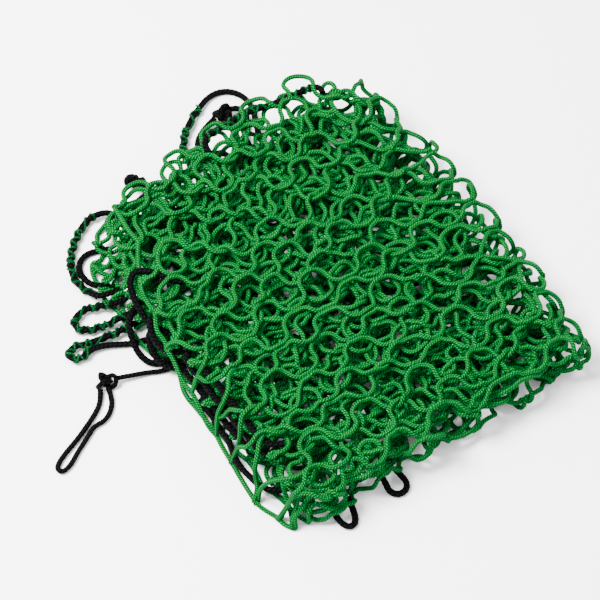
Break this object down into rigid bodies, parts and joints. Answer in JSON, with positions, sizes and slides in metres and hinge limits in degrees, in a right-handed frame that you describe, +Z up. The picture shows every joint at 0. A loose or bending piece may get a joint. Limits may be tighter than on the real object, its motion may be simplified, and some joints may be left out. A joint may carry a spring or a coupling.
{
  "type": "cargo climbing net",
  "caption": "Knotless braided climbing net, folded into a flat bundle, with a black border rope at its open edges and a knotted tie cord.",
  "frame": {"origin": "on the ground, under the middle of the folded stack's box, measured without the ropes and cords", "axes": "+Z up, +Y along the last fold towards the slack rope loops at the far side, +X from the open edges towards the last fold"},
  "size_m": [0.4516, 0.4666, 0.0556],
  "materials": {
    "green_mesh": "braided polypropylene cord, semi-matt, with lighter and darker flecks",
    "border_rope": "twisted polyester rope, matt black",
    "tie_cord": "braided polyester cord, matt black",
    "lacing_twine": "thin green twine, semi-matt"
  },
  "bodies": {
    "lower_half": {"corner_knot": "border_rope", "edge_rope_far_low": "border_rope", "edge_rope_ground": "border_rope", "edge_rope_middle": "border_rope", "far_bight_low": "green_mesh", "far_loop_knot": "border_rope", "fold_bight_1": "green_mesh", "fold_bight_2": "green_mesh", "fold_bight_3": "green_mesh", "fold_bight_4": "green_mesh", "gathered_strand_inner": "border_rope", "gathered_strand_outer": "border_rope", "lacing_corner_loop": "lacing_twine", "lacing_far_loop": "lacing_twine", "lacing_side_loop": "lacing_twine", "near_bight_inner_low": "green_mesh", "near_bight_outer_low": "green_mesh", "net_leaf_1": "green_mesh", "net_leaf_2": "green_mesh", "net_leaf_3": "green_mesh", "net_leaf_4": "green_mesh", "rope_end_corner": "border_rope", "rope_loop_corner_inner": "border_rope", "rope_loop_corner_outer": "border_rope", "rope_loop_far_lead": "border_rope", "rope_loop_far_outer": "border_rope", "rope_loop_far_return": "border_rope", "rope_loop_long": "border_rope", "rope_loop_near_left": "border_rope", "rope_loop_near_right": "border_rope", "rope_loop_side": "border_rope", "rope_tail_far_knot": "border_rope", "tie_cord_eye": "tie_cord", "tie_cord_lead": "tie_cord", "tie_knot": "tie_cord"},
    "upper_half": {"edge_rope_far_high": "border_rope", "edge_rope_top": "border_rope", "edge_rope_upper": "border_rope", "far_bight_high": "green_mesh", "gathered_strand_top": "border_rope", "gathered_strand_upper": "border_rope", "near_bight_inner_high": "green_mesh", "near_bight_outer_high": "green_mesh", "net_leaf_5": "green_mesh", "net_leaf_6": "green_mesh", "net_leaf_7": "green_mesh", "net_leaf_8": "green_mesh"}
  },
  "joints": [
    {"name": "last_fold", "type": "hinge", "parent": "lower_half", "child": "upper_half", "pos_m": [0.138, 0, 0.0278], "axis": [0, 1, 0], "range_deg": [0, 180], "deforming": ["fold_bight_1", "fold_bight_2", "fold_bight_3", "fold_bight_4"]}
  ]
}
